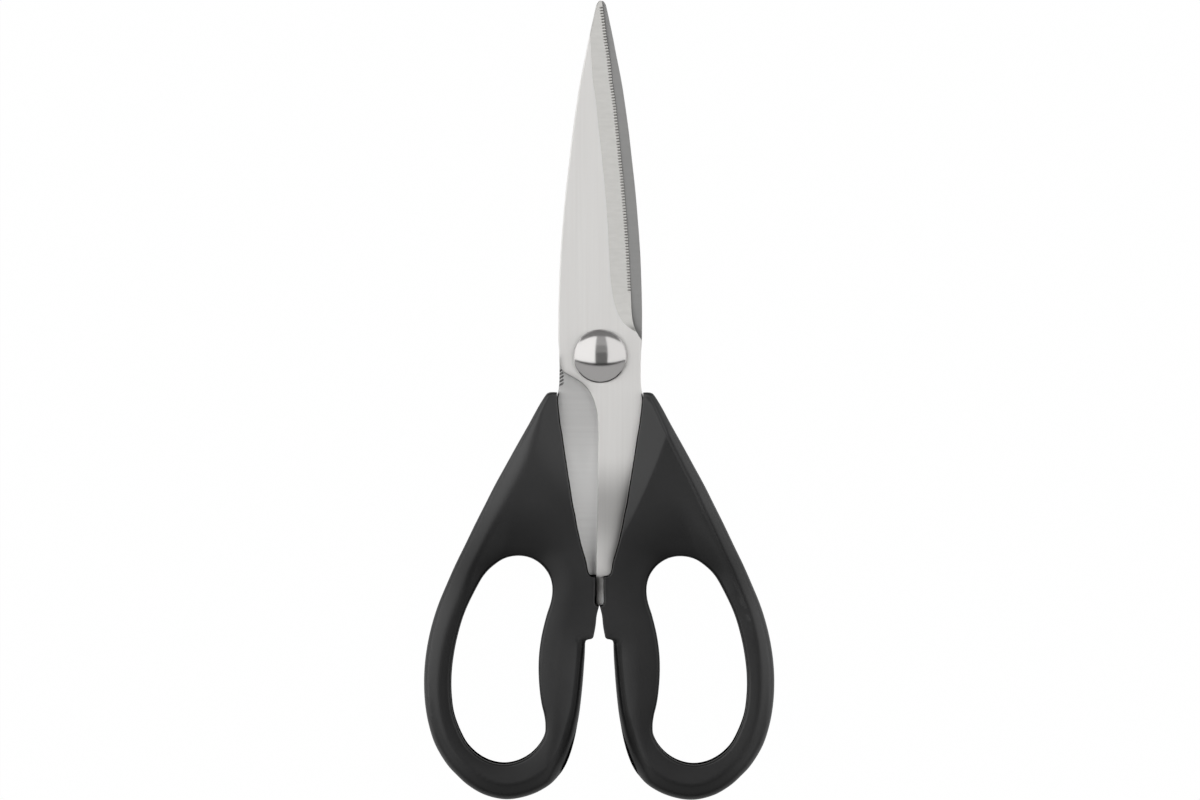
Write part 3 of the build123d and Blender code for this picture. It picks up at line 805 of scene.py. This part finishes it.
def inner_shade(places, found):
    """How light the inner face's steel is: darker where the blades meet, paler on the shank, painted light
    beside the other blade and the plastic where their shadows fall, and painted shade in the notches and in
    the slot below the foot.
    """
    height = places[:, 1]
    shade = INSIDE_SHADE + INSIDE_MID * smooth(-height, *INSIDE_MID_DOWN)
    shade = shade + INSIDE_LOW * smooth(-height, *INSIDE_LOW_DOWN)
    blade = fade(nearest(places, through(INNER, PLATE_STEP) * (-1, 1))[0], BESIDE_BLADE_REACH)
    shade = shade * (1 + BESIDE_BLADE * smooth(-height, *BESIDE_BLADE_DOWN) * blade)
    below, above = smooth(-height, *BESIDE_GRIP_DOWN), smooth(height, *BESIDE_GRIP_END)
    grip = fade(found[HELD_STRETCH][0] - SHADOW_LIP_WIDTH, BESIDE_GRIP_REACH)
    shade = shade * (1 + BESIDE_GRIP * below * above * grip)
    shade = np.minimum(shade, 1) * (1 - NOTCH_DARK * notch(places))
    return shade * (1 - FOOT_DARK * smooth(-height, *FOOT_DOWN))


def plate_mesh():
    """The front blade's vertices in millimetres, faces and corner normals, its faces' kinds and its
    vertices' painted shades."""
    lines = [
        through(points, TOOTH_PITCH / 8 if points is EDGE else PLATE_STEP)
        for points, width, depth in PLATE_STRETCHES
    ]
    extra = [lattice(NOTCH_GRID_LOW, NOTCH_GRID_HIGH, NOTCH_GRID_STEP)]
    for line, (points, width, depth) in zip(lines, PLATE_STRETCHES):
        insets = [width * share for share in ROUND_SHARES]
        if points is EDGE:
            insets = EDGE_ROWS
        elif points in (HELD, INNER):
            insets += MORE_ROWS
        for ring, inset in zip(rings(line, False, insets), insets):
            clear = np.min([nearest(ring, other)[0] for other in lines], axis=0)
            extra.append(ring[clear > inset - 0.02])
    bevel = through(BEVEL_LINE, PLATE_STEP)
    extra += rings(bevel, False, BEVEL_ROWS)
    inner = lattice(PLATE_GRID_LOW, PLATE_GRID_HIGH, PLATE_GRID_STEP)
    clear = np.min([nearest(inner, other)[0] for other in (lines[EDGE_STRETCH], bevel)], axis=0)
    extra.append(inner[clear > PLATE_CLEAR])
    places, faces, edges = lay_out([lines], np.vstack(extra), gap=0.03, spacing=0.05)

    found = measured(places, [(line, False) for line in lines], edges)
    edge, edge_slope = rounded(places, found, *zip(*[stretch[1:] for stretch in PLATE_STRETCHES]))
    here = plate_drop(places, [(one[0], one[2]) for one in found])
    slope = slope_of(plate_drop, places, found) + edge_slope
    low_rounds = [INNER_ROUND] * len(PLATE_STRETCHES)
    low_rounds[EDGE_STRETCH], low_rounds[HELD_STRETCH] = INNER_EDGE_ROUND, INNER_HELD_ROUND
    low, low_slope = rounded(places, found, *zip(*low_rounds))
    low = low + hollow(places, [(one[0], one[2]) for one in found])
    low_slope = low_slope + slope_of(hollow, places, found) + lean(places)
    low = np.minimum(low, PLATE_TOP - PLATE_LOW - here - edge - LEAST_THICKNESS)
    shape = solid(places, faces, edges, PLATE_TOP - here - edge, -slope, PLATE_LOW + low, low_slope)

    middles = places[faces].mean(axis=1)
    distance, away, way = nearest(middles, lines[EDGE_STRETCH])
    # Beside and inside the plastic and below the foot, the plate takes black plastic: a painted shadow line
    shadow_lip = nearest(middles, lines[HELD_STRETCH])[0] < SHADOW_LIP_WIDTH
    kinds = np.where(bevel_reach(middles) > 0, BEVEL, FLAT)
    # The teeth's groove faces take the darker steel: painted shade in the grooves
    kinds[(distance < TOOTH_REACH - 0.1) & (way > 0.4) & (way < 76) & (tooth(way) > 0.3)] = TEETH
    kinds[shadow_lip] = SHADOW_LIP
    low_kinds = np.where(shadow_lip | (middles[:, 1] < FOOT), SHADOW_LIP, INSIDE)
    in_handle = (HELD_STRETCH, STRIP_STRETCH, END_STRETCH)
    walls = [SHADOW_LIP if stretch in in_handle else FLAT for here, there, side, other, stretch in edges]
    shades = np.concatenate([outer_shade(places, found), inner_shade(places, found)])
    return shape, [*kinds.tolist(), *low_kinds.tolist(), *walls], shades


PLATE, PLATE_KINDS, PLATE_SHADES = plate_mesh()
PLATE_MATERIALS = [steel, bevel_steel, groove_shade_steel, inner_steel, plastic]
for name, node_name, body, turned in (
    ("front_plate", "front_blade", "front_half", False),
    ("rear_plate", "rear_blade", "rear_half", True),
):
    plate = own_mesh(name, PLATE, PLATE_SHADES, turned, PLATE_MATERIALS, PLATE_KINDS)
    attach(plate, body)
    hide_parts(node_name)


def camera():
    """A long lens straight above, with the photograph's whole frame."""
    height = 1.6
    data = bpy.data.cameras.new("camera")
    data.sensor_width = 36.0
    width = FRAME_WIDTH_PIXELS * MM_PER_PIXEL * MM
    blade_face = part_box("front_blade")[1].z
    data.lens = data.sensor_width * (height - blade_face) / width
    data.clip_end = 20.0
    made = bpy.data.objects.new("camera", data)
    made.location = (0, 0, height)
    made.rotation_euler = (0, 0, math.radians(LEAN_DEGREES))
    scene.collection.objects.link(made)
    scene.camera = made


def panel(name, low, high, height, radiance):
    """A flat rectangular lamp overhead, facing down, between two corners in X and Y."""
    width, depth = high[0] - low[0], high[1] - low[1]
    data = bpy.data.lights.new(name, "AREA")
    data.shape = "RECTANGLE"
    data.size = width
    data.size_y = depth
    data.energy = math.pi * width * depth * radiance
    made = bpy.data.objects.new(name, data)
    made.location = ((low[0] + high[0]) / 2, (low[1] + high[1]) / 2, height)
    scene.collection.objects.link(made)
    return made


def studio():
    """Two large soft panels beside the lens, dimmer cards between, beyond and below them, and a wall
    of light on each side."""
    height = 0.75
    left, right, reach = -0.17, 0.27, 2.2
    bottom, strip, middle, top, card = -0.23, 0.14, 0.42, 1.05, -0.34
    panel("left_panel", (-reach, bottom), (left, top), height, radiance=1.15)
    panel("right_panel", (right, bottom), (reach, top), height, radiance=0.97)
    panel("near_strip", (left, strip), (right, middle), height, radiance=0.26)
    panel("middle_strip", (left, middle), (right, top), height, radiance=0.4)
    panel("lens_hood", (left, bottom), (right, strip), height, radiance=0.14)
    panel("far_card", (-reach, top), (reach, reach), height, radiance=0.2)
    panel("lower_card", (-reach, -reach), (reach, card), height, radiance=0.43)
    tall, long = 0.62, 2.6
    for name, side, radiance in (("left_wall", -1, 1.5), ("right_wall", 1, 1.25)):
        wall = panel(name, (0, 0), (tall, long), height, radiance)
        wall.location = (side * reach, 0.75, 0.36)
        wall.rotation_euler = (0, side * math.pi / 2, 0)


def floor():
    """A plain white floor that the camera sees as white, and that shines a little in the metal."""
    bpy.ops.mesh.primitive_plane_add(size=6.0, location=(0, 0, -0.0002))
    made = bpy.context.object
    made.name = "floor"
    paper, shader, tree = material("floor_white", (0.82, 0.82, 0.82), roughness=0.9)
    shader.inputs["Specular IOR Level"].default_value = 0.0
    glow = node(tree, "ShaderNodeEmission", Color=(1, 1, 1, 1), Strength=1.0)
    path = node(tree, "ShaderNodeLightPath")
    seen = node(tree, "ShaderNodeMath", operation="MULTIPLY")
    seen.inputs[1].default_value = 0.995
    shine = node(tree, "ShaderNodeMath", operation="MULTIPLY")
    shine.inputs[1].default_value = 0.25
    mix = node(tree, "ShaderNodeMixShader")
    either = node(tree, "ShaderNodeMath", operation="MAXIMUM")
    tree.links.new(path.outputs["Is Camera Ray"], seen.inputs[0])
    tree.links.new(path.outputs["Is Glossy Ray"], shine.inputs[0])
    tree.links.new(seen.outputs[0], either.inputs[0])
    tree.links.new(shine.outputs[0], either.inputs[1])
    tree.links.new(either.outputs[0], mix.inputs["Fac"])
    tree.links.new(shader.outputs[0], mix.inputs[1])
    tree.links.new(glow.outputs[0], mix.inputs[2])
    tree.links.new(mix.outputs[0], tree.nodes["Material Output"].inputs["Surface"])
    made.data.materials.append(paper)


def world():
    """Dim grey surroundings for light, white for the camera, and a pale horizon in the metal."""
    made = bpy.data.worlds.new("world")
    made.use_nodes = True
    tree = made.node_tree
    dim = tree.nodes["Background"]
    dim.inputs["Color"].default_value = (0.03, 0.03, 0.03, 1)
    dim.inputs["Strength"].default_value = 1.0
    white = node(tree, "ShaderNodeBackground", Color=(1, 1, 1, 1), Strength=1.0)
    path = node(tree, "ShaderNodeLightPath")
    mix = node(tree, "ShaderNodeMixShader")
    place = node(tree, "ShaderNodeTexCoord")
    parts = node(tree, "ShaderNodeSeparateXYZ")
    low = node(tree, "ShaderNodeMapRange", interpolation_type="SMOOTHSTEP")
    low.inputs["From Min"].default_value = 0.25
    low.inputs["From Max"].default_value = 0.02
    low.inputs["To Max"].default_value = 0.1
    shine = node(tree, "ShaderNodeMath", operation="MULTIPLY")
    either = node(tree, "ShaderNodeMath", operation="MAXIMUM")
    tree.links.new(place.outputs["Generated"], parts.inputs[0])
    tree.links.new(parts.outputs["Z"], low.inputs["Value"])
    tree.links.new(path.outputs["Is Glossy Ray"], shine.inputs[0])
    tree.links.new(low.outputs["Result"], shine.inputs[1])
    tree.links.new(path.outputs["Is Camera Ray"], either.inputs[0])
    tree.links.new(shine.outputs[0], either.inputs[1])
    tree.links.new(either.outputs[0], mix.inputs["Fac"])
    tree.links.new(dim.outputs[0], mix.inputs[1])
    tree.links.new(white.outputs[0], mix.inputs[2])
    tree.links.new(mix.outputs[0], tree.nodes["World Output"].inputs["Surface"])
    scene.world = made


scene.view_settings.view_transform = "Standard"
camera()
world()
floor()
studio()
